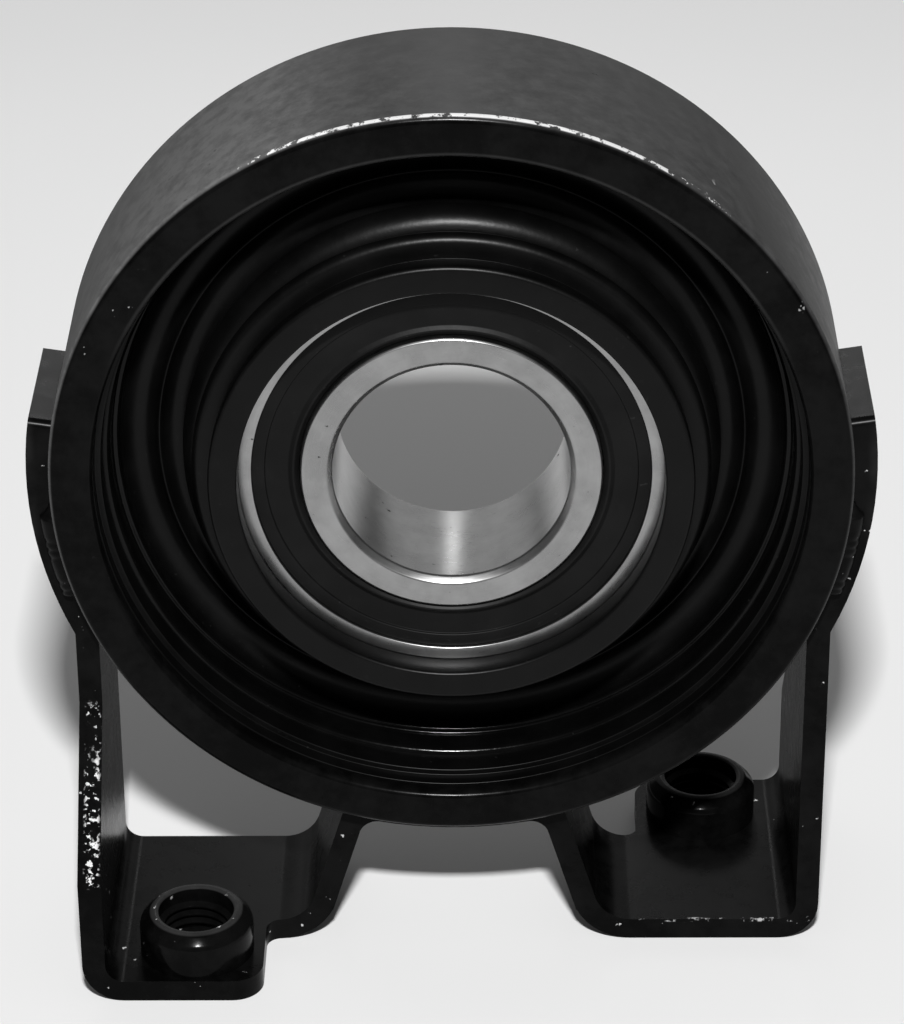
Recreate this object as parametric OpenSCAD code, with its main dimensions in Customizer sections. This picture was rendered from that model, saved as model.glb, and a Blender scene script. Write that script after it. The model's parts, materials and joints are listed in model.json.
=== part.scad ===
// Driveshaft centre bearing: a sealed ball bearing in a moulded rubber cushion, held by a
// steel ring that is welded into a bent strip bracket with two diagonal fixing feet.
// The shaft runs along Y, the front faces -Y, Z is up and the origin is the bearing's centre.

/* [Bearing] */
// Diameter of the shaft bore
bore_d = 30; // [28:0.5:31]
// Outside diameter of the bearing
bearing_od = 55; // [54:0.5:57]
// Width of the bearing along the shaft
bearing_w = 19; // [17:0.5:21]
// Diameter of one ball
ball_d = 7.144; // [6.4:0.001:7.2]
// Running clearance between a ball and its raceways
race_gap = 0.05; // [0.04:0.01:0.08]
// Drop from the ball circle to the inner race's land
inner_land_drop = 2.15; // [2:0.05:2.5]
// Rise from the ball circle to the outer race's land
outer_land_rise = 2.3; // [2.1:0.05:2.5]
// Chamfer at both ends of the shaft bore
bore_chamfer = 0.8; // [0.4:0.1:1.2]
// Edge break on the outer corners of both races
race_edge = 0.5; // [0.2:0.1:0.8]

/* [Seals and cage] */
// Thickness of one seal
seal_t = 1.6; // [1.2:0.1:2]
// Depth of the seal's face behind the race's face
seal_recess = 0.5; // [0.3:0.1:0.8]
// Width of the outer race's bare end face outside the seal
race_band = 2.3; // [2:0.1:2.6]
// Clearance between the seal's lip and the inner race
lip_gap = 0.12; // [0.1:0.01:0.25]
// Sheet thickness of a cage half
cage_t = 0.8; // [0.6:0.1:0.9]
// Radial width of the cage
cage_w = 2.7; // [2.4:0.1:2.9]
// Clearance between a ball and its cage pocket
pocket_gap = 0.15; // [0.1:0.01:0.2]
// Diameter of a cage rivet's shank
rivet_d = 1.4; // [1.2:0.1:1.5]

/* [Cushion] */
// Wall of the steel sleeve that is moulded into the rubber
sleeve_wall = 1.5; // [1.2:0.1:1.8]
// Rubber over the sleeve at the collar
collar_wall = 1.5; // [1.4:0.1:1.8]
// How far the collar's lip stands past the bearing's end face
lip_reach = 3.7; // [3:0.1:3.9]
// How far the collar's lip covers the outer race's edge
lip_cover = 0.6; // [0.4:0.1:0.8]
// Thickness of the collar's lip along the shaft
lip_t = 2.2; // [1.8:0.1:2.4]
// Distance from the lip's back to the rib's middle
rib_back = 2.8; // [2:0.1:3.2]
// How far the rib stands past the lip's edge
rib_rise = 1.7; // [1.2:0.1:2]
// Distance from the rib's middle to the soft roll's middle
roll_back = 3.6; // [3.2:0.1:4]
// How far the soft roll stands past the lip's edge
roll_rise = 2.7; // [2.2:0.1:3]
// How far the membrane's root stands past the lip's edge
root_rise = 1.8; // [1.4:0.1:2]
// Depth of the membrane's troughs
trough_depth = 2; // [1.5:0.1:2.2]
// Thickness of the rubber membrane
membrane_t = 4; // [3.4:0.1:4.6]
// Rubber that stands inside the ring's flange
wall_proud = 0.6; // [0.4:0.1:0.8]
// Height of each step on the cushion's outer wall
wall_step = 0.8; // [0.6:0.1:1]

/* [Ring] */
// Outside diameter of the steel ring
ring_od = 101; // [100:0.5:104]
// Width of the ring along the shaft
ring_w = 29.3; // [28:0.1:31]
// Distance of the ring's front face from the bearing's middle
ring_front = 13.5; // [13:0.1:14.5]
// Sheet thickness of the ring
ring_t = 2.5; // [2:0.1:2.8]
// Radial width of the ring's end faces
flange_w = 4.9; // [4.6:0.1:5.2]
// Roundness of the ring's edges
ring_edge = 1; // [0.6:0.1:1.1]

/* [Bracket] */
// Thickness of the bracket strip
strip_t = 3; // [2.5:0.1:3.4]
// Width of the bracket strip along the shaft
strip_w = 20.4; // [19:0.2:22]
// Height of the shaft axis above the feet
axis_h = 70; // [68:0.5:74]
// Distance across the outer faces of the legs
leg_span = 97; // [95:0.5:98]
// Height of the ears above the shaft axis
ear_rise = 7.8; // [4:0.2:12]
// Inner radius of the bend between a leg and its foot
bend_r = 2.4; // [2:0.1:3]
// Inner radius of the bend between a foot and its web
web_bend_r = 5; // [3:0.1:6]
// Half width between the webs under the ring
web_half = 11.8; // [9:0.2:13]
// Lean of the webs from upright, in degrees
web_lean = 17; // [15:0.5:22]
// Thickness of the saddle that the ring sits in
saddle_t = 1.8; // [1.5:0.1:3]
// Radius of the corners under the saddle
saddle_fillet = 2.5; // [2:0.1:5]

/* [Feet] */
// How far a foot reaches past the strip's edge
foot_reach = 14.2; // [13:0.2:16]
// Length of the foot's reach along X, from the leg's outer face
foot_len = 23.4; // [22.4:0.2:25]
// Height above the feet at which the leg starts to widen
flare_top = 37; // [34:0.5:40]
// Height above the feet at which the widened leg is full
flare_low = 18; // [16:0.5:22]
// Corner radius of the foot plate
foot_corner = 4; // [3:0.1:5]
// Radius where the foot plate runs into the strip
foot_fillet = 2; // [1:0.1:3]
// Gap between a weld nut and the leg's inner face
nut_leg_gap = 4; // [3:0.1:5]
// Gap between a weld nut and the foot's front edge
nut_edge_gap = 0.5; // [0.2:0.1:1]
// Outside diameter of a weld nut
nut_od = 15; // [14:0.2:15.4]
// Height of a weld nut above the foot plate
nut_h = 6; // [5:0.2:8]
// Inside diameter of a weld nut's thread
nut_bore = 8.5; // [8:0.1:9]
// Width of the slope round a weld nut's top
nut_slope = 1.5; // [1:0.1:1.8]
// Clearance of the bolt hole in the foot plate round the thread
hole_gap = 1; // [0.5:0.1:1.5]

/* [Welds] */
// Leg length of a weld bead
bead_leg = 1.9; // [1.4:0.1:2.2]
// Angle that a weld bead covers round the ring
bead_angle = 16; // [10:1:20]
// Angle of a weld bead's upper end below level
bead_start = 4; // [2:1:6]

/* [Hidden] */

// Seating clearance between pieces that are pressed, moulded or welded together
seat = 0.03;
// Overlap that keeps joined shapes in one solid
weld = 0.2;
// Reach of cutting shapes past what they cut
past = 1;
// Facets of round shapes, large and small
$fn = 160;
small_fn = 64;

// Bearing
ball_count = 11;
ball_r = ball_d / 2;
bore_r = bore_d / 2;
bearing_r = bearing_od / 2;
bearing_half = bearing_w / 2;
pitch_r = (bore_r + bearing_r) / 2;
groove_r = ball_r + race_gap;
inner_land_r = pitch_r - inner_land_drop;
outer_land_r = pitch_r + outer_land_rise;
seal_r = bearing_r - race_band;
seal_face = bearing_half - seal_recess;
seal_back = seal_face - seal_t;
seal_dish = 0.2 * seal_t;
seal_lip = 0.3 * seal_t;
pocket_r = ball_r + pocket_gap;
pocket_out_r = pocket_r + cage_t;
rivet_r = rivet_d / 2;
rivet_head_rise = 0.4;
rivet_head_r = rivet_r + rivet_head_rise;
rivet_head_t = 0.5;

// Ring
ring_r = ring_od / 2;
ring_back = ring_w - ring_front;
ring_in_r = ring_r - ring_t;
flange_r = ring_r - flange_w;

// Cushion
sleeve_in_r = bearing_r + seat;
sleeve_r = sleeve_in_r + sleeve_wall;
sleeve_past = 0.6;
sleeve_half = bearing_half + sleeve_past;
collar_in_r = sleeve_r + seat;
collar_r = collar_in_r + collar_wall;
lip_r = bearing_r - lip_cover;
lip_front = bearing_half + lip_reach;
lip_low = lip_front - lip_t;
lip_slope = 0.3;
collar_edge = 0.6;
neck_r = collar_in_r + collar_wall / 2;
rib_r = collar_r + rib_rise;
rib_a = lip_low - rib_back;
rib_edge = 0.9;
roll_r = collar_r + roll_rise;
roll_a = rib_a - roll_back;
roll_edge = 2;
wall_r = flange_r - wall_proud;
wall_front = ring_front - ring_t - seat;
wall_back = ring_back - ring_t - seat;
wall_out_r = ring_in_r - seat;
wall_edge = 0.35;
step_shares = [0.19, 0.58, 0.9];
step_depths = step_shares * wall_front;
membrane_in_r = collar_r + root_rise;
membrane_out_r = wall_r - len(step_depths) * wall_step;
ridge_r = (membrane_in_r + membrane_out_r) / 2;
ridge_half = 0.3;
trough_land = 0.6;
trough_half = (ridge_r - ridge_half - membrane_in_r - trough_land) / 2;
trough_deep = trough_depth > trough_half;
trough_r = trough_deep
    ? trough_half
    : (pow(trough_half, 2) + pow(trough_depth, 2)) / (2 * trough_depth);
hollow_r = 2.6;

// Bracket
hug_r = ring_r + seat;
strip_r = hug_r + strip_t;
base_z = -axis_h;
floor_z = base_z + strip_t;
leg_x = leg_span / 2;
leg_in_x = leg_x - strip_t;
strip_half = strip_w / 2;
bend_out_r = bend_r + strip_t;
leg_bend_z = floor_z + bend_r;
ear_angle = asin(ear_rise / hug_r);
leg_angle = acos(leg_in_x / hug_r);
leg_top_z = -sqrt(pow(strip_r, 2) - pow(leg_x, 2));

// Web: its lower face's normal, direction and distance from the shaft axis
web_n = [-cos(web_lean), -sin(web_lean)];
web_d = [-sin(web_lean), cos(web_lean)];
saddle_r = hug_r + saddle_t;
web_foot = [web_half, -sqrt(saddle_r * saddle_r - web_half * web_half)];
web_line = web_foot * web_n;
web_bend_z = floor_z + web_bend_r;
web_out_r = web_bend_r + strip_t;
web_lap = 1.2;
web_tuck = 4;
web_bend_x = (web_line - web_out_r - web_bend_z * web_n[1]) / web_n[0];
web_bend = [web_bend_x, web_bend_z];
fillet_c = (web_line + saddle_fillet) * web_n
    - sqrt(pow(saddle_r + saddle_fillet, 2) - pow(web_line + saddle_fillet, 2)) * web_d;
web_back = (web_line - strip_t) * web_n - sqrt(pow(hug_r, 2) - pow(web_line - strip_t, 2)) * web_d;
web_back_angle = atan2(web_back[1], web_back[0]);

// Feet
foot_front = strip_half + foot_reach;
foot_in_x = leg_x - foot_len;
hole_r = nut_bore / 2 + hole_gap;
hole_x = leg_in_x - nut_leg_gap - nut_od / 2;
hole_y = foot_front - nut_edge_gap - nut_od / 2;

// Colours
paint = [0.07, 0.07, 0.075];
black_rubber = [0.03, 0.03, 0.032];
bright_steel = [0.72, 0.73, 0.74];
cage_steel = [0.55, 0.55, 0.53];

// Turns a profile of radius and distance to the front round the shaft axis
module around_shaft() {
    rotate([90, 0, 0])
        rotate_extrude()
            children();
}

// Draws a front view of X and Z through a stretch of Y
module through(y_front, y_back) {
    translate([0, y_back, 0])
        rotate([90, 0, 0])
            linear_extrude(y_back - y_front)
                children();
}

// Rectangle between two corners
module box2d(x0, x1, y0, y1) {
    translate([x0, y0])
        square([x1 - x0, y1 - y0]);
}

// Rectangle with all four corners rounded
module soft_box(x0, x1, y0, y1, edge) {
    box2d(x0 + edge, x1 - edge, y0, y1);
    box2d(x0, x1, y0 + edge, y1 - edge);
    for (x = [x0 + edge, x1 - edge])
        for (y = [y0 + edge, y1 - edge])
            translate([x, y])
                circle(edge, $fn = small_fn);
}

// Part of a round band between two angles that are under half a turn apart
module sector(r_in, r_out, from, to) {
    reach = 2 * r_out;
    middle = (from + to) / 2;
    intersection() {
        difference() {
            circle(r_out);
            circle(r_in);
        }
        polygon([
            [0, 0],
            reach * [cos(from), sin(from)],
            2 * reach * [cos(middle), sin(middle)],
            reach * [cos(to), sin(to)]
        ]);
    }
}

// Puts a copy at each ball's place round the shaft, turned by a share of the spacing
module at_balls(turn = 0) {
    for (i = [0 : ball_count - 1])
        rotate([0, -(i + turn) * 360 / ball_count, 0])
            translate([pitch_r, 0, 0])
                children();
}

// The ring's rolled section, open towards the shaft
module ring_section() {
    difference() {
        soft_box(flange_r, ring_r, -ring_back, ring_front, ring_edge);
        box2d(flange_r - past, ring_in_r, -ring_back + ring_t, ring_front - ring_t);
    }
}

module outer_ring() {
    color(paint)
        around_shaft()
            ring_section();
}

// Right half of the bracket strip, from the ear to the middle of the saddle
module strip_half_section() {
    sector(hug_r, strip_r, -leg_angle, ear_angle);
    difference() {
        union() {
            box2d(leg_in_x, leg_x, leg_bend_z, leg_top_z + weld);
            web_bar();
        }
        circle(hug_r);
    }
    translate([leg_x - bend_out_r, leg_bend_z])
        sector(bend_r, bend_out_r, -90, 0);
    box2d(web_bend_x, leg_x - bend_out_r, base_z, floor_z);
    translate(web_bend)
        sector(web_bend_r, web_out_r, 180 + web_lean + web_tuck, 270);
    sector(hug_r, saddle_r, -90, web_back_angle);
    saddle_corner();
}

// Straight web that laps its lower bend, which starts web_tuck degrees inside it, and runs up to the ring
module web_bar() {
    low = web_bend + web_out_r * web_n - web_lap * web_d;
    high = low + (web_foot[1] - low[1] + 2 * strip_t) / web_d[1] * web_d;
    polygon([low, high, high - strip_t * web_n, low - strip_t * web_n]);
}

// Rounded corner between the web's lower face and the saddle
module saddle_corner() {
    on_web = fillet_c - saddle_fillet * web_n;
    on_saddle = fillet_c * hug_r / norm(fillet_c);
    difference() {
        polygon([fillet_c, on_web, on_web - weld * web_n, web_foot - weld * web_n, on_saddle]);
        translate(fillet_c)
            circle(saddle_fillet + seat, $fn = small_fn);
    }
}

// Section of a foot's leg, bend and plate, seen along the shaft, on the left side
module foot_section() {
    mirror([1, 0]) {
        box2d(leg_in_x, leg_x, leg_bend_z, base_z + flare_top);
        translate([leg_x - bend_out_r, leg_bend_z])
            sector(bend_r, bend_out_r, -90, 0);
        box2d(foot_in_x - foot_fillet, leg_x - bend_out_r, base_z, floor_z);
    }
}

// Outline of a widened leg, seen from the side as Y and Z
module flare_outline() {
    polygon([
        [-strip_half + weld, base_z],
        [-strip_half + weld, base_z + flare_top],
        [-strip_half, base_z + flare_top],
        [-foot_front, base_z + flare_low],
        [-foot_front, base_z]
    ]);
}

// Outline of a foot plate, seen from above
module foot_outline() {
    corner_x = -foot_in_x - foot_corner;
    box2d(-leg_x, -foot_in_x, -foot_front + foot_corner, -strip_half + weld);
    box2d(-leg_x, corner_x, -foot_front, -strip_half + weld);
    translate([corner_x, -foot_front + foot_corner])
        circle(foot_corner, $fn = small_fn);
    difference() {
        box2d(-foot_in_x - weld, -foot_in_x + foot_fillet, -strip_half - foot_fillet, -strip_half + weld);
        translate([-foot_in_x + foot_fillet, -strip_half - foot_fillet])
            circle(foot_fillet, $fn = small_fn);
    }
}

// Front left foot: the leg widens forward and carries a plate under the weld nut
module foot() {
    intersection() {
        through(-foot_front, -strip_half + weld)
            foot_section();
        translate([-leg_x, 0, 0])
            rotate([90, 0, 90])
                linear_extrude(foot_len + foot_fillet)
                    flare_outline();
        translate([0, 0, base_z])
            linear_extrude(flare_top)
                foot_outline();
    }
}

// Fixing hole through the front left foot plate
module foot_hole() {
    translate([-hole_x, -hole_y, base_z - past])
        cylinder(r = hole_r, h = strip_t + 2 * past);
}

module support_bracket() {
    color(paint)
        difference() {
            union() {
                through(-strip_half, strip_half) {
                    strip_half_section();
                    mirror([1, 0])
                        strip_half_section();
                }
                foot();
                rotate([0, 0, 180])
                    foot();
            }
            foot_hole();
            rotate([0, 0, 180])
                foot_hole();
        }
}

// Round nut with a sloped top, standing on the front left foot plate
module weld_nut() {
    color(paint)
        translate([-hole_x, -hole_y, floor_z])
            rotate_extrude()
                polygon([
                    [nut_bore / 2, 0],
                    [nut_od / 2, 0],
                    [nut_od / 2, nut_h - nut_slope],
                    [nut_od / 2 - nut_slope, nut_h],
                    [nut_bore / 2, nut_h]
                ]);
}

module weld_nut_front_left() {
    weld_nut();
}

module weld_nut_rear_right() {
    rotate([0, 0, 180])
        weld_nut();
}

// One bead in the corner between the ring and the strip's front edge, on the right
module weld_bead() {
    low_angle = bead_start + bead_angle;
    rotate([90, low_angle, 0])
        rotate_extrude(angle = bead_angle)
            intersection() {
                translate([hug_r, strip_half + seat])
                    circle(bead_leg, $fn = small_fn);
                box2d(hug_r, hug_r + bead_leg, strip_half + seat, strip_half + bead_leg + past);
            }
}

module weld_beads() {
    color(paint)
        for (side = [0, 1])
            for (back = [0, 1])
                mirror([side, 0, 0])
                    mirror([0, back, 0])
                        weld_bead();
}

// Front half of the collar's outline: its seat on the sleeve and the bearing, the lip, the neck
// behind it, the rib's back and the membrane's root
collar_front = [
    [collar_in_r, sleeve_half + seat],
    [sleeve_in_r, sleeve_half + seat],
    [sleeve_in_r, bearing_half + seat],
    [lip_r, bearing_half + seat],
    [lip_r + lip_slope, lip_front],
    [collar_r - collar_edge, lip_front],
    [collar_r, lip_front - collar_edge],
    [collar_r, lip_low],
    [neck_r, lip_low],
    [neck_r, rib_a],
    [rib_r - rib_edge, rib_a],
    [rib_r - rib_edge, roll_a],
    [membrane_in_r, roll_a]
];

// Collar with a rounded lip, a rib and a soft roll at both ends
module collar_section() {
    last = len(collar_front) - 1;
    collar_back = [for (point = collar_front) [point[0], -point[1]]];
    polygon(concat(collar_back, [for (i = [last : -1 : 0]) collar_front[i]]));
    for (end = [-1, 1]) {
        translate([collar_r - collar_edge, end * (lip_front - collar_edge)])
            circle(collar_edge, $fn = small_fn);
        translate([rib_r - rib_edge, end * rib_a])
            circle(rib_edge, $fn = small_fn);
        translate([roll_r - roll_edge, end * roll_a])
            circle(roll_edge, $fn = small_fn);
    }
}

// Round trough in the membrane's front, with straight sides where it is deeper than half its width
module trough(middle) {
    translate([middle, trough_r - trough_depth])
        circle(trough_r, $fn = small_fn);
    if (trough_deep)
        box2d(middle - trough_half, middle + trough_half, trough_half - trough_depth, past);
}

// Membrane between the collar and the wall: a ridge between two troughs, hollow behind the ridge
module membrane_section() {
    difference() {
        box2d(neck_r, ring_in_r - ring_t, -trough_depth - membrane_t, 0);
        trough(ridge_r - ridge_half - trough_half);
        trough(ridge_r + ridge_half + trough_half);
        translate([ridge_r, -membrane_t - hollow_r])
            circle(hollow_r, $fn = small_fn);
    }
}

// Outer wall of the cushion, stepped inwards towards the membrane
module wall_section() {
    soft_box(wall_r, wall_out_r, -wall_back, wall_front, wall_edge);
    for (row = [0 : len(step_depths) - 1])
        soft_box(
            wall_r - (row + 1) * wall_step, wall_out_r,
            step_depths[row] - wall_back, wall_front - step_depths[row], wall_edge
        );
}

module rubber_cushion() {
    color(black_rubber)
        around_shaft() {
            collar_section();
            membrane_section();
            wall_section();
        }
}

module bearing_sleeve() {
    color(bright_steel)
        around_shaft()
            box2d(sleeve_in_r, sleeve_r, -sleeve_half, sleeve_half);
}

// Round groove that the balls run in, which both races share
module ball_groove() {
    translate([pitch_r, 0])
        circle(groove_r);
}

// Corner cut of a given width at both ends of a race, on its inner or outer side
module corner_cuts(r, width, inward) {
    for (end = [-1, 1])
        polygon([
            [r + inward * width, end * (bearing_half + past)],
            [r + inward * width, end * bearing_half],
            [r, end * (bearing_half - width)],
            [r - inward * past, end * (bearing_half - width)],
            [r - inward * past, end * (bearing_half + past)]
        ]);
}

module outer_race() {
    color(bright_steel)
        around_shaft()
            difference() {
                box2d(outer_land_r, bearing_r, -bearing_half, bearing_half);
                ball_groove();
                corner_cuts(bearing_r, race_edge, -1);
                for (end = [0, 1])
                    mirror([0, end])
                        box2d(outer_land_r - past, seal_r + seat, seal_back - seat, bearing_half + past);
            }
}

module inner_race() {
    color(bright_steel)
        around_shaft()
            difference() {
                box2d(bore_r, inner_land_r, -bearing_half, bearing_half);
                ball_groove();
                corner_cuts(bore_r, bore_chamfer, 1);
                corner_cuts(inner_land_r, race_edge / 2, -1);
            }
}

// Rubber seal with a raised rim where it snaps into the outer race and a thin lip
module seal_section() {
    lip_in = inner_land_r + lip_gap;
    polygon([
        [lip_in, seal_face - seal_lip],
        [lip_in, seal_back + seal_dish],
        [lip_in + seal_t, seal_back],
        [seal_r, seal_back],
        [seal_r, seal_face],
        [seal_r - seal_t, seal_face],
        [seal_r - seal_t - seal_dish, seal_face - seal_dish],
        [lip_in + seal_t, seal_face - seal_dish],
        [lip_in + seal_t - seal_lip, seal_face],
        [lip_in + seal_lip, seal_face]
    ]);
}

module front_seal() {
    color(black_rubber)
        around_shaft()
            seal_section();
}

module rear_seal() {
    mirror([0, 1, 0])
        front_seal();
}

// Pressed half of the ball cage, in front of the bearing's middle
module cage_half() {
    color(cage_steel)
        difference() {
            intersection() {
                around_shaft()
                    box2d(pitch_r - cage_w / 2, pitch_r + cage_w / 2, seat, pocket_out_r + past);
                union() {
                    around_shaft()
                        box2d(pitch_r - cage_w, pitch_r + cage_w, seat, cage_t);
                    at_balls()
                        sphere(pocket_out_r, $fn = small_fn);
                }
            }
            at_balls()
                sphere(pocket_r, $fn = small_fn);
            at_balls(0.5)
                rotate([90, 0, 0])
                    cylinder(r = rivet_r + seat, h = 2 * (cage_t + past), center = true, $fn = small_fn);
        }
}

module cage_front_half() {
    cage_half();
}

module cage_rear_half() {
    mirror([0, 1, 0])
        cage_half();
}

module cage_rivets() {
    color(cage_steel)
        at_balls(0.5)
            rotate([90, 0, 0])
                rotate_extrude($fn = small_fn)
                    for (end = [0, 1])
                        mirror([0, end]) {
                            box2d(0, rivet_r, 0, cage_t + seat + weld);
                            box2d(0, rivet_head_r, cage_t + seat, cage_t + seat + rivet_head_t);
                        }
}

// One ball, counted from 1 round the shaft
module ball(number) {
    color(bright_steel)
        rotate([0, -(number - 1) * 360 / ball_count, 0])
            translate([pitch_r, 0, 0])
                sphere(ball_r, $fn = small_fn);
}

outer_ring();
support_bracket();
weld_nut_front_left();
weld_nut_rear_right();
weld_beads();
rubber_cushion();
bearing_sleeve();
outer_race();
inner_race();
front_seal();
rear_seal();
cage_front_half();
cage_rear_half();
cage_rivets();
ball(1);  // ball_01
ball(2);  // ball_02
ball(3);  // ball_03
ball(4);  // ball_04
ball(5);  // ball_05
ball(6);  // ball_06
ball(7);  // ball_07
ball(8);  // ball_08
ball(9);  // ball_09
ball(10);  // ball_10
ball(11);  // ball_11
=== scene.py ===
import json
import math

import bmesh
import bpy
from bpy.props import FloatProperty, FloatVectorProperty, IntProperty, PointerProperty
from bpy.types import Operator, Panel, PropertyGroup
from mathutils import Matrix, Vector

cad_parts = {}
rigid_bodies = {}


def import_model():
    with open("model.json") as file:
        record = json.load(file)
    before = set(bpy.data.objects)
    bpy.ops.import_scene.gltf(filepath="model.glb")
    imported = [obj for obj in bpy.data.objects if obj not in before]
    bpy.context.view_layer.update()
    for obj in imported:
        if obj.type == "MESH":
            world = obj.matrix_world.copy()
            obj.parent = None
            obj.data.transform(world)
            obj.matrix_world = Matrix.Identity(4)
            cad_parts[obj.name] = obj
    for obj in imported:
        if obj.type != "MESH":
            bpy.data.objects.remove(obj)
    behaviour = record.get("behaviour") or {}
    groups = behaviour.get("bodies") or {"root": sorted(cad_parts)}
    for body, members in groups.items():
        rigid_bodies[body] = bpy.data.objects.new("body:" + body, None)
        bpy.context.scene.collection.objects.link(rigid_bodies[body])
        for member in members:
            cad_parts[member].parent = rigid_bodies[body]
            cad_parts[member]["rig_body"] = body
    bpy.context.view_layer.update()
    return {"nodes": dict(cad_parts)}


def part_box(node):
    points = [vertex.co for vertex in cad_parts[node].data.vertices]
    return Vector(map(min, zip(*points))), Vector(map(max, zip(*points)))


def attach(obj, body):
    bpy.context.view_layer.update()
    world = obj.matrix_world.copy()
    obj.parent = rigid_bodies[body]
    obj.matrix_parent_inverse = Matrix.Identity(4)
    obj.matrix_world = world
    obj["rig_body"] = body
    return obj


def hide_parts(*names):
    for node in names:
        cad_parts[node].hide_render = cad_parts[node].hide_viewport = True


bl_info = {
    "name": "Driveshaft Centre Bearing",
    "version": (1, 0, 0),
    "blender": (4, 5, 0),
    "location": "View3D > Sidebar > Centre Bearing",
    "description": "Models and finishes a driveshaft centre bearing on its studio stage",
    "category": "Object",
}

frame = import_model()

MM = 0.001
TURN = 2 * math.pi
# Distance under which vertices are one
MERGE = 2e-6
# Gap between pieces that are seated in each other
SEAT = 0.03 * MM
# Local Z of a turned piece points to the front, along -Y
SHAFT = Matrix.Rotation(math.pi / 2, 4, "X")

RING_LOW, RING_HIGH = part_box("outer_ring")
BRACKET_LOW, BRACKET_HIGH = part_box("support_bracket")
SLEEVE_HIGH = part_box("bearing_sleeve")[1]
BEARING_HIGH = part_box("outer_race")[1]
INNER_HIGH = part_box("inner_race")[1]
SEAL_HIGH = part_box("front_seal")[1]
BEAD_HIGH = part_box("weld_beads")[1]
NUT_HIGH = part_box("weld_nut_front_left")[1]
# Half the width of the bracket strip between its feet, and its thickness
STRIP_HALF = 10.2 * MM
STRIP_THICK = 3 * MM
# Distance of the middle of a leg's thickness from the shaft axis
LEG_MIDDLE = 46.7 * MM
# Height under which the left leg's front edge slopes to the front, and its run for each unit of drop
SLOPE_TOP = -33 * MM
SLOPE_RUN = 0.7474
# Radius of the innermost step of the cushion's wall, and the distance between its steps
WALL_START = 42.6 * MM
WALL_STEP = 0.8 * MM


def length(name, description, default):
    """A length property in metres."""
    return FloatProperty(
        name=name, description=description, default=default, min=0.0, precision=5,
        unit="LENGTH", subtype="DISTANCE",
    )


def tint(name, description, default):
    """A colour property in linear light."""
    return FloatVectorProperty(
        name=name, description=description, default=default, min=0.0, max=1.0, size=3, subtype="COLOR"
    )


def spot(name, description, default):
    """A place property."""
    return FloatVectorProperty(
        name=name, description=description, default=default, size=3, precision=5, subtype="TRANSLATION"
    )


def watts(name, description, default):
    """A lamp's power property in watts."""
    return FloatProperty(name=name, description=description, default=default, min=0.0, unit="POWER")


class CentreBearingSizes(PropertyGroup):
    """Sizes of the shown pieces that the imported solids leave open."""

    ring_face: length("Ring face", "Radial width of the ring's end faces", 5.5 * MM)
    ring_wall: length("Ring wall", "Sheet thickness of the ring", 2.5 * MM)
    ring_edge: length("Ring edge", "Roundness of the ring's rolled edges", 1.0 * MM)
    strip_edge: length("Strip edge", "Edge break on the bracket's cut edges", 0.35 * MM)
    ear_edge: length("Ear edge", "Roundness of the ears' upper front edges", 1.0 * MM)
    nut_bore: length("Nut bore", "Inside diameter of a weld nut's thread", 8.5 * MM)
    thread_pitch: length("Thread pitch", "Rise of the weld nut's thread in one turn", 1.25 * MM)
    thread_depth: length("Thread depth", "Depth of the weld nut's thread", 0.7 * MM)
    nut_slope: length("Nut slope", "Width of the slope round a weld nut's top", 1.5 * MM)
    bead_ripple: length("Bead ripple", "Height of the ripples along a weld bead", 0.14 * MM)
    bore_chamfer: length("Bore chamfer", "Chamfer at both ends of the shaft bore", 0.8 * MM)
    race_edge: length("Race edge", "Edge break on the outer race's corners, twice the inner race's", 0.5 * MM)
    seal_step: length("Seal step", "Height of the seal's raised rims", 0.32 * MM)
    steps: IntProperty(name="Steps", description="Facets round a turned piece", default=192, min=48, max=512)


class CentreBearingFinishes(PropertyGroup):
    """Colours of the finishes and of the stage."""

    paint: tint("Paint", "Black paint of ring, bracket and nuts", (0.0018, 0.0018, 0.0018))
    # This grey also paints light: the highlight on the ring face's inner edge and the lit top rims of the
    # nuts.
    haze_and_sheen: tint("Haze", "Dull grey haze on the ring's outer skin", (0.1, 0.1, 0.1))
    # This steel colour also paints the glint along the ring's upper front edge.
    bare_and_glint: tint("Bare steel", "Steel that shows where the paint is chipped", (0.8, 0.8, 0.8))
    rubber: tint("Rubber", "Moulded rubber of the cushion", (0.0012, 0.0012, 0.0012))
    seal: tint("Seal", "Rubber of the bearing's seals", (0.0025, 0.0025, 0.0025))
    steel: tint("Steel", "Ground steel of the races, balls and sleeve", (0.33, 0.33, 0.33))
    cage: tint("Cage", "Pressed steel of the ball cage", (0.36, 0.35, 0.33))
    floor: tint("Floor", "Pale studio floor", (0.95, 0.95, 0.95))


class CentreBearingStage(PropertyGroup):
    """Camera and lamps."""

    eye: spot("Eye", "Place of the camera", (0.00453, -0.45345, 0.23697))
    turn: FloatVectorProperty(
        name="Turn",
        description="Turn of the camera",
        default=(math.radians(61.378), math.radians(0.369), math.radians(0.379)),
        size=3,
        subtype="EULER",
    )
    lens: FloatProperty(name="Lens", description="Focal length in millimetres", default=159.2, min=10.0)
    key: watts("Key", "Power of the front lamp", 8.0)
    key_place: spot("Key place", "Place of the front lamp", (0.006, -0.476, 0.455))
    back: watts("Back", "Power of the rear lamp", 0.22)
    back_place: spot("Back place", "Place of the rear lamp", (-0.01, 0.85, 0.47))
    panel: watts("Panel", "Power of the wide rear panel", 2.3)
    panel_place: spot("Panel place", "Place of the wide rear panel", (-0.1, 1.0, 0.5))
    sky: FloatProperty(name="Sky", description="Strength of the even studio light", default=0.13, min=0.0)


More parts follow.
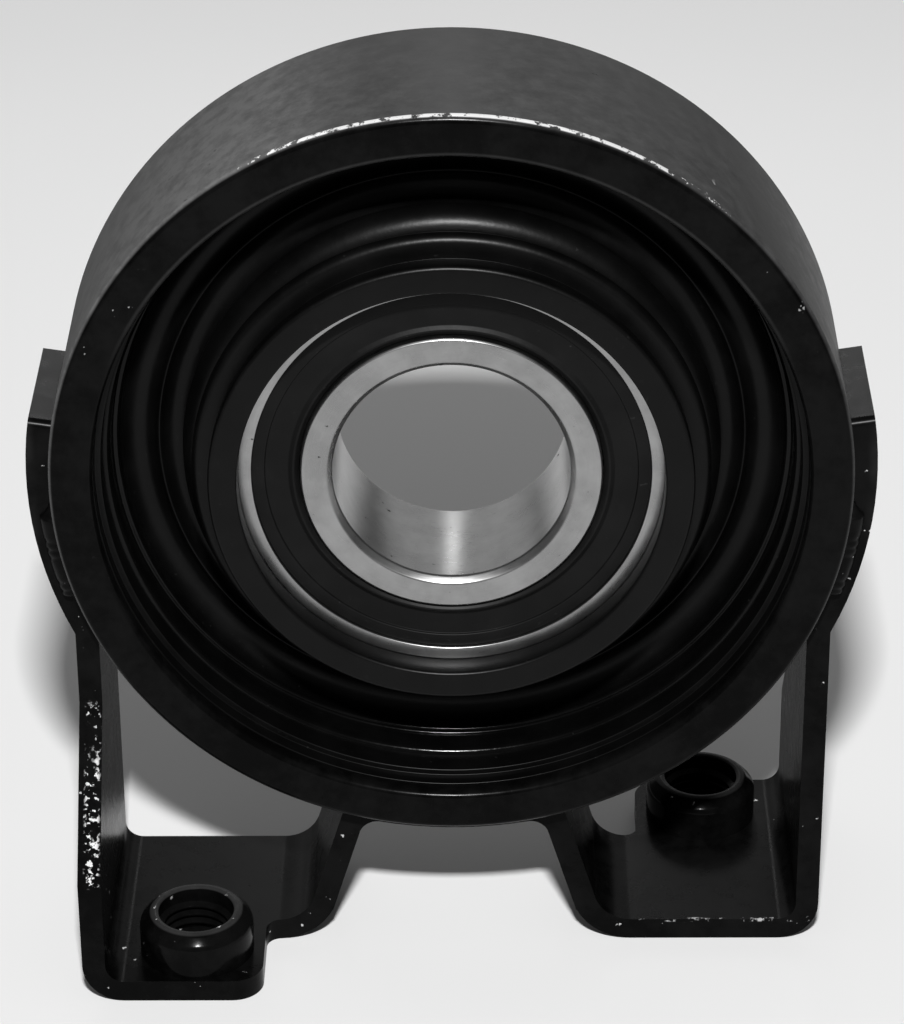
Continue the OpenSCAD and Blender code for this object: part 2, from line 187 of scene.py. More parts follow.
class Field:
    """A socket of a node tree. Arithmetic on it adds Math nodes."""

    def __init__(self, tree, socket):
        self.tree = tree
        self.socket = socket

    def node(self, kind, settings, sockets, output=0):
        """Adds a node with its settings and its sockets' values or links, and gives one output."""
        made = self.tree.nodes.new(kind)
        for name, value in settings.items():
            setattr(made, name, value)
        for name, value in sockets.items():
            if isinstance(value, Field):
                self.tree.links.new(value.socket, made.inputs[name])
            else:
                made.inputs[name].default_value = value
        return Field(self.tree, made.outputs[output])

    def math(self, operation, *values):
        """Adds a Math node."""
        return self.node("ShaderNodeMath", {"operation": operation}, dict(enumerate(values)))

    def __add__(self, other):
        return self.math("ADD", self, other)

    def __radd__(self, other):
        return self.math("ADD", other, self)

    def __sub__(self, other):
        return self.math("SUBTRACT", self, other)

    def __rsub__(self, other):
        return self.math("SUBTRACT", other, self)

    def __mul__(self, other):
        return self.math("MULTIPLY", self, other)

    def __rmul__(self, other):
        return self.math("MULTIPLY", other, self)

    def __pow__(self, other):
        return self.math("POWER", self, other)

    def __rpow__(self, other):
        return self.math("POWER", other, self)

    def __abs__(self):
        return self.math("ABSOLUTE", self)

    def larger(self, other):
        """The larger of this and another value."""
        return self.math("MAXIMUM", self, other)

    def axis(self, index):
        """One coordinate of a vector."""
        return self.node("ShaderNodeSeparateXYZ", {}, {0: self}, index)

    def rise(self, low, high):
        """0 at low and 1 at high, with a soft run between them."""
        settings = {"interpolation_type": "SMOOTHSTEP"}
        return self.node("ShaderNodeMapRange", settings, {"Value": self, "From Min": low, "From Max": high})

    def noise(self, scale, detail=3.0, roughness=0.55):
        """Noise over a vector, about 0 to 1."""
        sockets = {"Vector": self, "Scale": scale, "Detail": detail, "Roughness": roughness}
        return self.node("ShaderNodeTexNoise", {}, sockets)

    def stretched(self, scale):
        """The vector with each coordinate scaled."""
        return self.node("ShaderNodeMapping", {}, {"Vector": self, "Scale": scale})

    def blend(self, first, second):
        """A colour between two others, with this field as the share of the second."""
        settings = {"data_type": "RGBA", "clamp_factor": True}
        first, second = [c if isinstance(c, Field) else (*c, 1.0) for c in (first, second)]
        return self.node("ShaderNodeMix", settings, {0: self, 6: first, 7: second}, 2)

    def bump(self, strength, distance):
        """A normal bumped by this field."""
        return self.node("ShaderNodeBump", {}, {"Height": self, "Strength": strength, "Distance": distance})

    def feed(self, shader, name):
        """Links this field to an input of a shader."""
        self.tree.links.new(self.socket, shader.inputs[name])


def new_finish(name):
    """A new material, its shader and the Object coordinates."""
    material = bpy.data.materials.new(name)
    material.use_nodes = True
    tree = material.node_tree
    shader = tree.nodes["Principled BSDF"]
    place = Field(tree, tree.nodes.new("ShaderNodeTexCoord").outputs["Object"])
    return material, shader, place


def shaft_fields(place):
    """Radius from the shaft axis, angle from the top and distance along the shaft."""
    x, y, z = [place.axis(i) for i in range(3)]
    radius = (x * x + z * z) ** 0.5
    return radius, x.math("ARCTAN2", x, z), y


def scaled(colour, factor):
    """A colour made lighter or darker, held at white."""
    return tuple(min(1.0, c * factor) for c in colour)


def paint_finish(name, finishes, roughness, wear_and_sheen):
    """Black paint with a fine orange peel and dust, chipped and hazy where the wear function says so; that
    function also paints highlights and lit rims in these colours.
    """
    material, shader, place = new_finish(name)
    clouds = place.noise(55, 4)
    mottle = place.noise(330, 4, 0.65)
    grain = place.noise(1400, 2)
    dust = place.noise(700, 4, 0.7).rise(0.68, 0.82)
    # Besides wear, the first mask paints the glint on the ring's upper front edge and the second paints
    # highlights on the ring's inner edge and the nuts' top rims.
    chips_and_glints, haze_and_sheen = wear_and_sheen(place)
    thick, thin = scaled(finishes.paint, 0.5), scaled(finishes.paint, 1.7)
    coat = (clouds * 0.5 + mottle * 0.5).rise(0.36, 0.64).blend(thick, thin)
    coat = (dust * 0.3).blend(coat, scaled(finishes.paint, 12))
    coat = (haze_and_sheen * (0.55 + 0.9 * mottle)).blend(coat, finishes.haze_and_sheen)
    chips_and_glints.blend(coat, finishes.bare_and_glint).feed(shader, "Base Color")
    (chips_and_glints * 0.6).feed(shader, "Metallic")
    (roughness + clouds * 0.1 + mottle * 0.12 + chips_and_glints * 0.1 + haze_and_sheen * 0.6).feed(shader, "Roughness")
    (grain * 0.3 + mottle * 0.7 - chips_and_glints * 1.2).bump(0.4, 0.05 * MM).feed(shader, "Normal")
    shader.inputs["Specular IOR Level"].default_value = 0.05
    return material


def ring_wear_and_sheen(place):
    """A chipped band along the ring's upper front edge that also paints its highlight glint, pits behind it,
    a greyer, duller outer skin and a painted highlight along the face's inner edge at the top.
    """
    radius, angle, y = shaft_fields(place)
    x, z = place.axis(0), place.axis(2)
    inside, behind = RING_HIGH.x - radius, y - RING_LOW.y
    # Chipped paint along the upper front edge with a painted glint: the band keeps to the top half and is
    # densest near the top centre. Its bright, half metallic steel stands in for the lamp's highlight on the
    # rounded edge.
    from_edge = ((inside - 0.07 * MM) ** 2 + (behind - 0.7 * MM) ** 2) ** 0.5
    hold = 0.66 - 0.24 * abs(angle - 0.1).rise(0.8, 0.35)
    chips_and_glints = (place.noise(480, 4, 0.75) - hold).rise(0.0, 0.08)
    chipped_glint_band = from_edge.rise(0.4 * MM, 0.18 * MM) * chips_and_glints * z.rise(0, 10 * MM)
    rough = place.stretched((1.0, 0.35, 1.0)).noise(360, 3, 0.6).rise(0.69, 0.72)
    shoulders = abs(angle).rise(0.3, 0.6) * z.rise(8 * MM, 20 * MM)
    pits = rough * abs(behind - 3 * MM).rise(5 * MM, 1 * MM) * shoulders
    # A greyer, duller outer skin, heavier on the left half than on the right.
    skin = inside.rise(0.5 * MM, 0.05 * MM) * (0.88 - 0.53 * x.rise(-26 * MM, -8 * MM))
    blotch = place.noise(420, 5, 0.75).rise(0.3, 0.7) * 0.5 + 0.75
    scuffs = place.noise(420, 3, 0.6).rise(0.66, 0.72) * place.noise(60, 2).rise(0.5, 0.62)
    # Painted highlight: a lighter band along the face's inner rounded edge, only on the top of the ring,
    # where that edge catches the lamp.
    rim = abs(inside - 5.2 * MM).rise(0.6 * MM, 0.2 * MM) * z.rise(15 * MM, 30 * MM) * 0.14
    return chipped_glint_band.larger(pits * 0.55), skin * blotch * (1 - 0.7 * scuffs) + rim


def bracket_wear(place):
    """Light speckles on the left leg's sloping edge, flecks on the right foot's edge and a few marks."""
    x, y, z = [place.axis(i) for i in range(3)]
    past_slope = y + STRIP_HALF - (z - SLOPE_TOP) * SLOPE_RUN
    slope = past_slope.rise(0.5 * MM, 0.2 * MM) * abs(x + LEG_MIDDLE).rise(1.2 * MM, 0.5 * MM)
    stretch = z.rise(-59 * MM, -54 * MM) * z.rise(-32.5 * MM, -34.5 * MM)
    dots = place.noise(1250, 3, 0.6).rise(0.54, 0.6) * place.noise(260, 3, 0.6).rise(0.38, 0.5)
    from_foot_edge = abs(y + STRIP_HALF) + abs(z - BRACKET_LOW.z - STRIP_THICK)
    foot = from_foot_edge.rise(0.5 * MM, 0.25 * MM) * x.rise(20 * MM, 24 * MM)
    flecks = place.noise(520, 4, 0.7).rise(0.55, 0.64) * foot
    marks = place.noise(700, 3, 0.6).rise(0.7, 0.75) * abs(y).rise(9.9 * MM, 10.1 * MM)
    bare_and_glint = (dots * slope * stretch).larger(flecks * 0.5).larger(marks * 0.6)
    haze_and_sheen = abs(x).rise(52.0 * MM, 53.2 * MM) * place.noise(160, 3).rise(0.35, 0.7) * 0.05
    return bare_and_glint, haze_and_sheen


def nut_wear_and_sheen(place):
    """Painted light on the nuts' top rims, which are also rougher there, and small marks of exposed steel."""
    z = place.axis(2)
    marks = place.noise(650, 3, 0.6).rise(0.68, 0.74) * z.rise(NUT_HIGH.z - 1.0 * MM, NUT_HIGH.z - 0.2 * MM)
    # Painted light: the top rim is made a lighter grey, as the lamp lights that upward face.
    return marks, z.rise(NUT_HIGH.z - 0.25 * MM, NUT_HIGH.z - 0.08 * MM) * 0.16


def rubber_finish(name, colour, roughness, bloom):
    """Moulded rubber with a mottled bloom and a fine texture, smoother on the cushion's stepped wall."""
    material, shader, place = new_finish(name)
    radius = shaft_fields(place)[0]
    past = radius - WALL_START
    wall = past.rise(-WALL_STEP, 0) * past.rise(1.5 * MM, 1.3 * MM)
    mottle = place.noise(130, 5, 0.6)
    grit = place.noise(900, 3, 0.6)
    specks = place.noise(1500, 2, 0.5).rise(0.7, 0.78)
    body = mottle.rise(0.35, 0.7).blend(scaled(colour, 0.8), scaled(colour, 1.5))
    (specks * bloom).blend(body, scaled(colour, 14)).feed(shader, "Base Color")
    (roughness + mottle * 0.16 + specks * 0.1 - wall * 0.2).feed(shader, "Roughness")
    (grit * 0.6 + mottle).bump(0.45, 0.08 * MM).feed(shader, "Normal")
    shader.inputs["Specular IOR Level"].default_value = 0.12
    return material


def ground_finish(name, colour, roughness, marks):
    """Ground steel with fine lines round the shaft axis and a few dark marks."""
    material, shader, place = new_finish(name)
    radius, angle, y = shaft_fields(place)
    rings = place.node("ShaderNodeCombineXYZ", {}, {0: radius, 1: angle * 0.0012, 2: y})
    lines = rings.noise(5200, 3, 0.6)
    clouds = place.noise(190, 4, 0.6)
    nick = place.noise(620, 3, 0.6).rise(0.69, 0.74) * marks
    tone = clouds.rise(0.3, 0.75).blend(scaled(colour, 0.82), scaled(colour, 1.12))
    tone = (lines * 0.3).blend(tone, scaled(colour, 0.6))
    nick.blend(tone, (0.03, 0.03, 0.03)).feed(shader, "Base Color")
    (roughness + lines * 0.1 + clouds * 0.08 + nick * 0.3).feed(shader, "Roughness")
    lines.bump(0.12, 0.02 * MM).feed(shader, "Normal")
    shader.inputs["Metallic"].default_value = 1.0
    return material


def rolled_finish(name, colour, roughness):
    """Pressed or polished steel with a faint cloudiness."""
    material, shader, place = new_finish(name)
    clouds = place.noise(420, 4, 0.6)
    clouds.rise(0.3, 0.7).blend(scaled(colour, 0.85), scaled(colour, 1.1)).feed(shader, "Base Color")
    (roughness + clouds * 0.1).feed(shader, "Roughness")
    place.noise(2400, 2).bump(0.1, 0.02 * MM).feed(shader, "Normal")
    shader.inputs["Metallic"].default_value = 1.0
    return material


def turned(outline, steps, place=SHAFT):
    """Turns a closed outline round local Z. Each corner is a radius, a height and a rounding."""
    mesh = bmesh.new()
    corners = [mesh.verts.new((radius, 0, height)) for radius, height, _ in outline]
    mesh.faces.new(corners)
    for corner, (_, _, rounding) in zip(corners, outline):
        if rounding > 0:
            bmesh.ops.bevel(
                mesh, geom=[corner], offset=rounding, offset_type="OFFSET", affect="VERTICES",
                segments=6, profile=0.5, material=-1,
            )
    bmesh.ops.delete(mesh, geom=mesh.faces[:], context="FACES_ONLY")
    bmesh.ops.spin(
        mesh, geom=mesh.verts[:] + mesh.edges[:], cent=(0, 0, 0), axis=(0, 0, 1),
        angle=TURN, steps=steps, use_merge=True,
    )
    bmesh.ops.transform(mesh, matrix=place, verts=mesh.verts[:])
    return mesh


def mirrored_outline(front):
    """An outline whose back half mirrors its front half, listed from the inside out."""
    return front + [(radius, -height, rounding) for radius, height, rounding in reversed(front)]


def show(mesh, name, node, material, sharp=38):
    """Makes a bmesh the shown piece for a CAD node, on that node's body."""
    bmesh.ops.remove_doubles(mesh, verts=mesh.verts[:], dist=MERGE)
    bmesh.ops.recalc_face_normals(mesh, faces=mesh.faces[:])
    data = bpy.data.meshes.new(name)
    mesh.to_mesh(data)
    mesh.free()
    data.shade_smooth()
    data.set_sharp_from_angle(angle=math.radians(sharp))
    data.materials.append(material)
    piece = bpy.data.objects.new(name, data)
    bpy.context.scene.collection.objects.link(piece)
    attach(piece, frame["nodes"][node]["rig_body"])
    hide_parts(node)
    return piece


def dress(names, material):
    """Gives CAD nodes that are shown as they are their finish."""
    for name in names:
        frame["nodes"][name].material_slots[0].material = material


class CENTREBEARING_OT_ring(Operator):
    """Rolled steel ring with rounded edges and chipped paint"""

    bl_idname = "centre_bearing.ring"
    bl_label = "Ring"

    def execute(self, context):
        sizes = context.scene.centre_bearing_sizes
        outer, edge = RING_HIGH.x, sizes.ring_edge
        face, wall = outer - sizes.ring_face, outer - sizes.ring_wall
        front, back = -RING_LOW.y, -RING_HIGH.y
        inside = sizes.ring_wall
        outline = [
            (wall, front - inside, 0.6 * edge), (face, front - inside, 0.5 * edge), (face, front, edge),
            (outer, front, edge), (outer, back, edge), (face, back, edge), (face, back + inside, 0.5 * edge),
            (wall, back + inside, 0.6 * edge),
        ]
        finishes = context.scene.centre_bearing_finishes
        finish = paint_finish("ring_paint", finishes, roughness=0.09, wear_and_sheen=ring_wear_and_sheen)
        show(turned(outline, sizes.steps), "rolled_ring", "outer_ring", finish)
        return {"FINISHED"}


class CENTREBEARING_OT_bracket(Operator):
    """Bent strip bracket with broken edges"""

    bl_idname = "centre_bearing.bracket"
    bl_label = "Bracket"

    def execute(self, context):
        sizes = context.scene.centre_bearing_sizes
        mesh = bmesh.new()
        mesh.from_mesh(frame["nodes"]["support_bracket"].data)
        bmesh.ops.remove_doubles(mesh, verts=mesh.verts[:], dist=MERGE)
        bmesh.ops.dissolve_limit(
            mesh, angle_limit=math.radians(0.4), verts=mesh.verts[:], edges=mesh.edges[:], delimit={"NORMAL"}
        )
        ears = [e for e in mesh.edges if all(self.on_ear_front(v.co) for v in e.verts)]
        bmesh.ops.bevel(
            mesh, geom=ears, offset=sizes.ear_edge, offset_type="OFFSET", affect="EDGES",
            segments=6, profile=0.5, material=-1,
        )
        sharp = [e for e in mesh.edges if e.is_manifold and e.calc_face_angle() > math.radians(40)]
        bmesh.ops.bevel(
            mesh, geom=sharp, offset=sizes.strip_edge, offset_type="OFFSET", affect="EDGES",
            segments=2, profile=0.5, material=-1, clamp_overlap=True,
        )
        finishes = context.scene.centre_bearing_finishes
        finish = paint_finish("bracket_paint", finishes, roughness=0.17, wear_and_sheen=bracket_wear)
        strip = show(mesh, "bent_strip", "support_bracket", finish)
        strip.modifiers.new("even_normals", "WEIGHTED_NORMAL").keep_sharp = True
        return {"FINISHED"}

    def on_ear_front(self, point):
        """True for the corners of the ears' upper front edges."""
        return point.y < 0.1 * MM - STRIP_HALF and point.z > BRACKET_HIGH.z - 1.0 * MM


class CENTREBEARING_OT_weld_nuts(Operator):
    """Round weld nuts with a cut thread"""

    bl_idname = "centre_bearing.weld_nuts"
    bl_label = "Weld nuts"

    def execute(self, context):
        sizes = context.scene.centre_bearing_sizes
        finishes = context.scene.centre_bearing_finishes
        finish = paint_finish("nut_paint", finishes, roughness=0.05, wear_and_sheen=nut_wear_and_sheen)
        for side in ("front_left", "rear_right"):
            node = f"weld_nut_{side}"
            low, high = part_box(node)
            place = Matrix.Translation(((low.x + high.x) / 2, (low.y + high.y) / 2, low.z))
            mesh = self.nut(sizes, (high.x - low.x) / 2, high.z - low.z, place)
            show(mesh, f"threaded_nut_{side}", node, finish)
        return {"FINISHED"}

    def nut(self, sizes, outer, height, place):
        """Nut body with the thread's ridge winding up its bore."""
        crest = sizes.nut_bore / 2
        root = crest + sizes.thread_depth
        lead = 0.3 * sizes.thread_depth
        shoulder = outer - sizes.nut_slope
        around, per_turn = 96, 48
        outline = [
            (root, 0, 0), (outer, 0, 0), (outer, height - sizes.nut_slope, 0.6 * MM),
            (shoulder, height, 0.5 * MM), (root + lead, height, 0.3 * MM), (root, height - lead, 0),
        ]
        mesh = turned(outline, around, place)
        pitch = sizes.thread_pitch
        ridge = bmesh.new()
        foot, tip, sunk = 0.46 * pitch, 0.07 * pitch, root + 0.1 * MM
        profile = [(sunk, -foot), (crest, -tip), (crest, tip), (sunk, foot)]
        ridge.faces.new([ridge.verts.new((radius, 0, rise + foot)) for radius, rise in profile])
        turns = int((height - lead - 2 * foot) / pitch)
        bmesh.ops.delete(ridge, geom=ridge.faces[:], context="FACES_ONLY")
        bmesh.ops.spin(
            ridge, geom=ridge.verts[:] + ridge.edges[:], cent=(0, 0, 0), axis=(0, 0, 1),
            dvec=(0, 0, pitch / per_turn), angle=TURN * turns, steps=per_turn * turns,
        )
        bmesh.ops.holes_fill(ridge, edges=[e for e in ridge.edges if e.is_boundary], sides=4)
        bmesh.ops.transform(ridge, matrix=place, verts=ridge.verts[:])
        data = bpy.data.meshes.new("thread")
        ridge.to_mesh(data)
        ridge.free()
        mesh.from_mesh(data)
        bpy.data.meshes.remove(data)
        return mesh


class CENTREBEARING_OT_weld_beads(Operator):
    """Rippled weld beads between the ring and the strip"""

    bl_idname = "centre_bearing.weld_beads"
    bl_label = "Weld beads"

    def execute(self, context):
        sizes = context.scene.centre_bearing_sizes
        finishes = context.scene.centre_bearing_finishes
        finish = paint_finish("bead_paint", finishes, roughness=0.25, wear_and_sheen=bracket_wear)
        mesh = self.bead(sizes)
        for axis in ("X", "Y"):
            whole = mesh.verts[:] + mesh.edges[:] + mesh.faces[:]
            bmesh.ops.mirror(mesh, geom=whole, matrix=Matrix.Identity(4), merge_dist=0, axis=axis)
        show(mesh, "rippled_beads", "weld_beads", finish, sharp=60)
        return {"FINISHED"}

    def bead(self, sizes):
        """The bead at the right rear: a round section carried along the corner, swelling at each ripple."""
        corner = Vector((RING_HIGH.x, STRIP_HALF, 0))
        leg = BEAD_HIGH.y - STRIP_HALF - sizes.bead_ripple
        start, sweep = math.asin(-BEAD_HIGH.z / RING_HIGH.x), math.radians(16)
        around, steps = 24, 72
        # Least thickness at the ends, how fast they thicken, the number of ripples and their unevenness
        least, swell, ripples, drift, beat = 0.3, 9, 7, 1.4, 15
        mesh = bmesh.new()
        bmesh.ops.create_circle(mesh, cap_ends=False, segments=around, radius=leg)
        bmesh.ops.translate(mesh, vec=corner, verts=mesh.verts[:])
        bmesh.ops.rotate(mesh, cent=(0, 0, 0), matrix=Matrix.Rotation(start, 3, "Y"), verts=mesh.verts[:])
        bmesh.ops.spin(
            mesh, geom=mesh.verts[:] + mesh.edges[:], cent=(0, 0, 0), axis=(0, 1, 0), angle=sweep, steps=steps
        )
        bmesh.ops.holes_fill(mesh, edges=[e for e in mesh.edges if e.is_boundary], sides=around)
        for vert in mesh.verts:
            share = (math.atan2(-vert.co.z, vert.co.x) - start) / sweep
            middle = Matrix.Rotation(start + share * sweep, 3, "Y") @ corner
            taper = max(least, min(1.0, swell * share, swell * (1 - share)))
            phase = share * ripples * math.pi + drift * math.sin(share * beat)
            ripple = sizes.bead_ripple / leg * abs(math.sin(phase))
            vert.co = middle + (vert.co - middle) * (taper + ripple)
        return mesh


class CENTREBEARING_OT_cushion(Operator):
    """Moulded rubber cushion with collar, rib, soft roll, membrane and stepped wall"""

    bl_idname = "centre_bearing.cushion"
    bl_label = "Cushion"

    def execute(self, context):
        sizes = context.scene.centre_bearing_sizes
        lip = self.lip()
        back_lip = [(radius, -along, rounding) for radius, along, rounding in reversed(lip)]
        corners = lip + self.fold() + self.wall(sizes.ring_wall) + self.recess() + back_lip
        outline = [(radius * MM, along * MM, rounding * MM) for radius, along, rounding in corners]
        colour = context.scene.centre_bearing_finishes.rubber
        finish = rubber_finish("cushion_rubber", colour, roughness=0.27, bloom=0.25)
        mesh = turned(outline, sizes.steps)
        show(mesh, "moulded_cushion", "rubber_cushion", finish, sharp=60)
        return {"FINISHED"}

    # The four parts of the outline are in millimetres, as a radius, a place along the shaft and a rounding

    def lip(self):
        """Seats of the sleeve and the race, the lip over the race, the collar and the rib."""
        sleeve, sleeve_end = (SLEEVE_HIGH.x + SEAT) / MM, (SLEEVE_HIGH.y + SEAT) / MM
        race, race_end = (BEARING_HIGH.x + SEAT) / MM, (BEARING_HIGH.y + SEAT) / MM
        lip, neck, collar, rib = 26.9, 29.81, 30.56, 32.8
        collar_end, collar_foot, neck_end, rib_front, rib_back = 13.2, 11.0, 10.6, 9.1, 7.2
        return [
            (sleeve, sleeve_end, 0), (race, sleeve_end, 0), (race, race_end, 0), (lip, race_end, 0.15),
            (lip, collar_end, 0.45), (collar, collar_end, 0.6), (collar, collar_foot, 0.4),
            (neck, neck_end, 0.3), (neck, rib_front, 0.05), (rib, rib_front, 1.2), (rib, rib_back, 0.7),
        ]

    def fold(self):
        """The soft roll and the convoluted membrane."""
        return [
            (31.2, 5.7, 0.3), (34.3, 5.3, 2.4), (34.2, 1.4, 1.5), (32.9, 0.0, 0.5), (33.6, -1.6, 1.2),
            (36.6, -1.9, 1.2), (37.48, 0.1, 0.7), (38.4, -1.9, 1.2), (41.3, -1.7, 1.2),
        ]

    def wall(self, ring_wall):
        """The stepped wall in the ring, from the membrane's front round to its back."""
        first, second, third, last = [(WALL_START + i * WALL_STEP) / MM for i in range(4)]
        outer = (RING_HIGH.x - ring_wall - SEAT) / MM
        front, back = (-RING_LOW.y - ring_wall - SEAT) / MM, (ring_wall + SEAT - RING_HIGH.y) / MM
        land = 2.08
        front_step, back_step = front - land, back + land
        low, middle, inner = 1.1, 5.3, -6.91
        return [
            (first, 0.0, 0.4), (first, low, 0.35), (second, low, 0.3), (second, middle, 0.75),
            (third, middle, 0.05), (third, front_step, 0.15), (last, front_step, 0.1), (last, front, 0.12),
            (outer, front, 0.35), (outer, back, 0.35), (last, back, 0.35), (last, back_step, 0.3),
            (third, back_step, 0.4), (third, inner, 0.3), (second, inner, 0.3), (second, -6.0, 0.4),
        ]

    def recess(self):
        """The membrane's back with its groove."""
        return [
            (40.0, -6.0, 0.5), (37.48, -4.0, 1.4), (35.0, -6.0, 0.5), (33.0, -6.0, 0.3), (32.5, -6.5, 0.3),
            (31.2, -6.9, 0.35),
        ]


class CENTREBEARING_OT_bearing(Operator):
    """Ball bearing: two ground races, balls, riveted cage and the pressed sleeve"""

    bl_idname = "centre_bearing.bearing"
    bl_label = "Bearing"

    def execute(self, context):
        sizes = context.scene.centre_bearing_sizes
        finishes = context.scene.centre_bearing_finishes
        steel = ground_finish("race_steel", finishes.steel, roughness=0.2, marks=1.0)
        half = BEARING_HIGH.y
        bore, land, outer = 15 * MM, INNER_HIGH.x, BEARING_HIGH.x
        seal, pocket = SEAL_HIGH.x + SEAT, -SEAL_HIGH.y - SEAT
        chamfer, edge = sizes.bore_chamfer, sizes.race_edge
        # Radius, place and rounding of one side of a groove's bottom, and half the width of its mouth
        inner_groove, inner_mouth = (17.6 * MM, 1.829 * MM, 1.81 * MM), 2.915 * MM
        outer_groove, outer_mouth = (24.93 * MM, 1.716 * MM, 1.7 * MM), 2.8 * MM
        shoulder = 23.55 * MM
        inner = mirrored_outline([
            inner_groove, (land, inner_mouth, 0), (land, half - edge / 2, 0.1 * MM),
            (land - edge / 2, half, 0.1 * MM), (bore + chamfer, half, 0.2 * MM),
            (bore, half - chamfer, 0.25 * MM),
        ])
        show(turned(inner, sizes.steps), "inner_race_ring", "inner_race", steel)
        ring = mirrored_outline([
            (outer, half - edge, 0.2 * MM), (outer - edge, half, 0.2 * MM), (seal, half, 0.15 * MM),
            (seal, pocket, 0), (shoulder, pocket, 0), (shoulder, outer_mouth, 0), outer_groove,
        ])
        show(turned(ring, sizes.steps), "outer_race_ring", "outer_race", steel)
        balls = [f"ball_{i:02d}" for i in range(1, 12)]
        dress(balls, rolled_finish("ball_steel", finishes.steel, roughness=0.08))
        dress(["bearing_sleeve"], ground_finish("sleeve_steel", finishes.steel, roughness=0.3, marks=0.0))
        cage = ["cage_front_half", "cage_rear_half", "cage_rivets"]
        dress(cage, rolled_finish("cage_steel", finishes.cage, roughness=0.3))
        return {"FINISHED"}


class CENTREBEARING_OT_seals(Operator):
    """Moulded rubber seals at both ends of the bearing"""

    bl_idname = "centre_bearing.seals"
    bl_label = "Seals"

    def execute(self, context):
        sizes = context.scene.centre_bearing_sizes
        finishes = context.scene.centre_bearing_finishes
        finish = rubber_finish("seal_rubber", finishes.seal, roughness=0.4, bloom=0.35)
        for side, node in ((1, "front_seal"), (-1, "rear_seal")):
            low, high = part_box(node)
            front = max(-low.y, high.y)
            back = min(abs(low.y), abs(high.y))
            rim, lip = high.x, 19.22 * MM
            band, band_foot = rim - 1.6 * MM, rim - 1.7 * MM
            rib_in, rib_out, rib_foot, heel = [lip + past * MM for past in (0.65, 0.85, 1.4, 1.6)]
            dip = front - sizes.seal_step
            outline = [
                (lip, front - 0.5 * MM, 0.1 * MM), (lip, back + 0.3 * MM, 0.1 * MM), (heel, back, 0),
                (rim, back, 0), (rim, front, 0.1 * MM), (band, front, 0.1 * MM),
                (band_foot, dip, 0.05 * MM), (rib_foot, dip, 0.1 * MM),
                (rib_out, front, 0.06 * MM), (rib_in, front, 0.06 * MM),
            ]
            place = SHAFT if side > 0 else SHAFT @ Matrix.Rotation(math.pi, 4, "X")
            show(turned(outline, sizes.steps, place), f"moulded_{node}", node, finish)
        return {"FINISHED"}


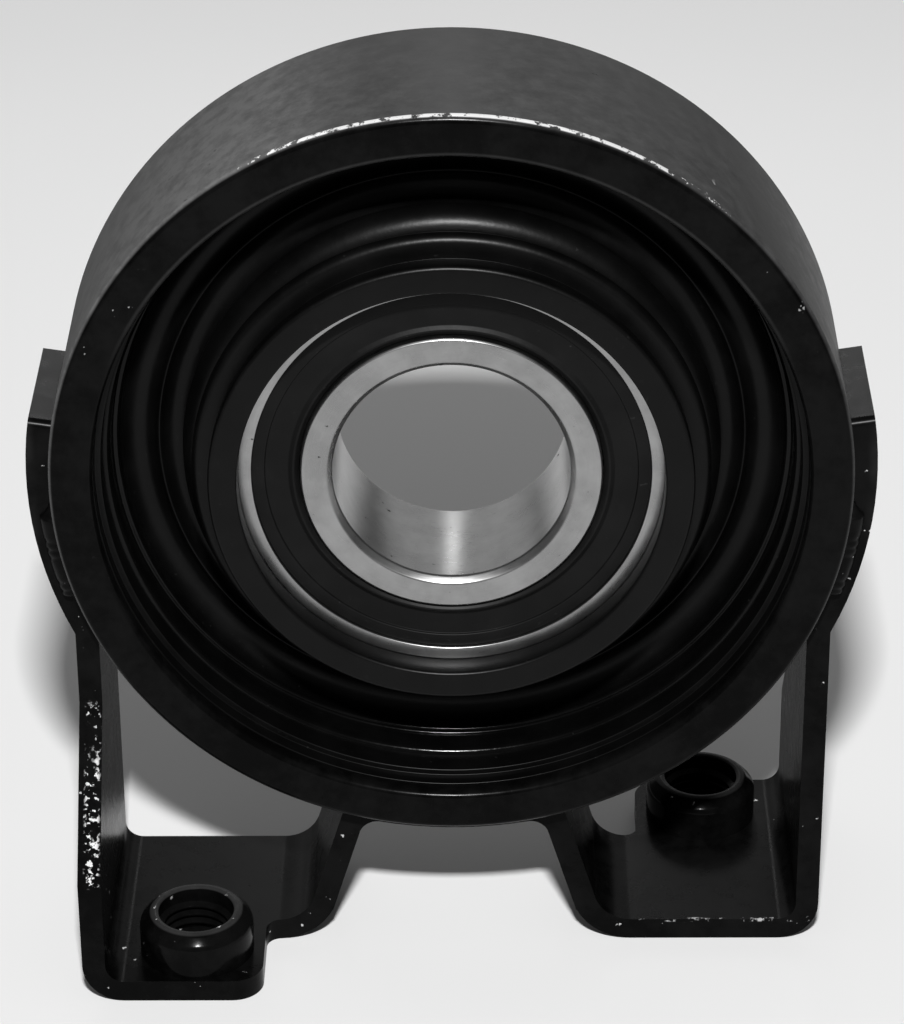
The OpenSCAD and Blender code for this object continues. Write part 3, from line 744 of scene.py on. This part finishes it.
class CENTREBEARING_OT_stage(Operator):
    """Pale floor, soft lamps, even sky and the camera"""

    bl_idname = "centre_bearing.stage"
    bl_label = "Stage"

    def execute(self, context):
        scene = context.scene
        stage = scene.centre_bearing_stage
        self.floor(scene)
        self.lamp(scene, "key_lamp", stage.key, stage.key_place, size=(0.05, 0.03), aim=(0, 0, -0.03))
        self.lamp(scene, "back_lamp", stage.back, stage.back_place, size=(0.08, 0.12), aim=(0, 0, 0))
        self.lamp(scene, "panel_lamp", stage.panel, stage.panel_place, size=(1.5, 1.0), aim=(0, 0, 0))
        self.sky(scene, stage.sky)
        camera = bpy.data.cameras.new("photo_camera")
        camera.sensor_fit = "HORIZONTAL"
        camera.sensor_width = 36.0
        camera.lens = stage.lens
        camera.clip_start = 0.01
        eye = bpy.data.objects.new("photo_camera", camera)
        eye.location = stage.eye
        eye.rotation_euler = stage.turn
        scene.collection.objects.link(eye)
        scene.camera = eye
        scene.view_settings.view_transform = "Standard"
        return {"FINISHED"}

    def floor(self, scene):
        """Wide floor just under the feet, with painted shade that darkens it towards the camera, where the
        key lamp lights it more strongly.
        """
        mesh = bmesh.new()
        bmesh.ops.create_grid(mesh, x_segments=8, y_segments=8, size=3.0)
        bmesh.ops.translate(mesh, vec=(0, 0, BRACKET_LOW.z - 0.05 * MM), verts=mesh.verts[:])
        data = bpy.data.meshes.new("studio_floor")
        mesh.to_mesh(data)
        mesh.free()
        floor = bpy.data.objects.new("studio_floor", data)
        scene.collection.objects.link(floor)
        material, shader, place = new_finish("studio_floor")
        colour = scene.centre_bearing_finishes.floor
        y = place.axis(1)
        # Painted shade: the floor's colour falls to 0.4 of its value near the camera, evening out the key
        # lamp's stronger light there.
        near, far = y.rise(-0.32, -0.08), y.rise(-0.12, 0.3)
        depth = near * 0.26 + far * 0.69 + place.noise(9, 3) * 0.05
        depth.blend(scaled(colour, 0.4), colour).feed(shader, "Base Color")
        shader.inputs["Roughness"].default_value = 0.9
        shader.inputs["Specular IOR Level"].default_value = 0.0
        data.materials.append(material)

    def lamp(self, scene, name, power, place, size, aim):
        """Rectangular lamp, its size in metres, turned to the place it aims at."""
        data = bpy.data.lights.new(name, "AREA")
        data.energy = power
        data.shape = "RECTANGLE"
        data.size, data.size_y = size
        lamp = bpy.data.objects.new(name, data)
        lamp.location = place
        lamp.rotation_euler = (Vector(aim) - Vector(place)).to_track_quat("-Z", "Y").to_euler()
        scene.collection.objects.link(lamp)

    def sky(self, scene, strength):
        """Even white light from all sides."""
        world = bpy.data.worlds.new("studio_sky")
        world.use_nodes = True
        scene.world = world
        background = world.node_tree.nodes["Background"]
        background.inputs["Color"].default_value = (1, 1, 1, 1)
        background.inputs["Strength"].default_value = strength


class CENTREBEARING_PT_panel(Panel):
    """Sizes, finishes and stage of the centre bearing"""

    bl_idname = "CENTREBEARING_PT_panel"
    bl_label = "Centre Bearing"
    bl_space_type = "VIEW_3D"
    bl_region_type = "UI"
    bl_category = "Centre Bearing"

    def draw(self, context):
        for group in (
            context.scene.centre_bearing_sizes,
            context.scene.centre_bearing_finishes,
            context.scene.centre_bearing_stage,
        ):
            box = self.layout.box()
            for name in group.bl_rna.properties.keys():
                if name not in ("rna_type", "name"):
                    box.prop(group, name)
        for operator in PIECES:
            self.layout.operator(operator.bl_idname)


PIECES = (
    CENTREBEARING_OT_ring,
    CENTREBEARING_OT_bracket,
    CENTREBEARING_OT_weld_nuts,
    CENTREBEARING_OT_weld_beads,
    CENTREBEARING_OT_cushion,
    CENTREBEARING_OT_bearing,
    CENTREBEARING_OT_seals,
    CENTREBEARING_OT_stage,
)
GROUPS = (CentreBearingSizes, CentreBearingFinishes, CentreBearingStage)


def register():
    for cls in GROUPS + PIECES + (CENTREBEARING_PT_panel,):
        bpy.utils.register_class(cls)
    bpy.types.Scene.centre_bearing_sizes = PointerProperty(type=CentreBearingSizes)
    bpy.types.Scene.centre_bearing_finishes = PointerProperty(type=CentreBearingFinishes)
    bpy.types.Scene.centre_bearing_stage = PointerProperty(type=CentreBearingStage)


def unregister():
    del bpy.types.Scene.centre_bearing_stage
    del bpy.types.Scene.centre_bearing_finishes
    del bpy.types.Scene.centre_bearing_sizes
    for cls in reversed(GROUPS + PIECES + (CENTREBEARING_PT_panel,)):
        bpy.utils.unregister_class(cls)


def main():
    register()
    bpy.ops.centre_bearing.ring()
    bpy.ops.centre_bearing.bracket()
    bpy.ops.centre_bearing.weld_nuts()
    bpy.ops.centre_bearing.weld_beads()
    bpy.ops.centre_bearing.cushion()
    bpy.ops.centre_bearing.bearing()
    bpy.ops.centre_bearing.seals()
    bpy.ops.centre_bearing.stage()


if __name__ == "__main__":
    main()
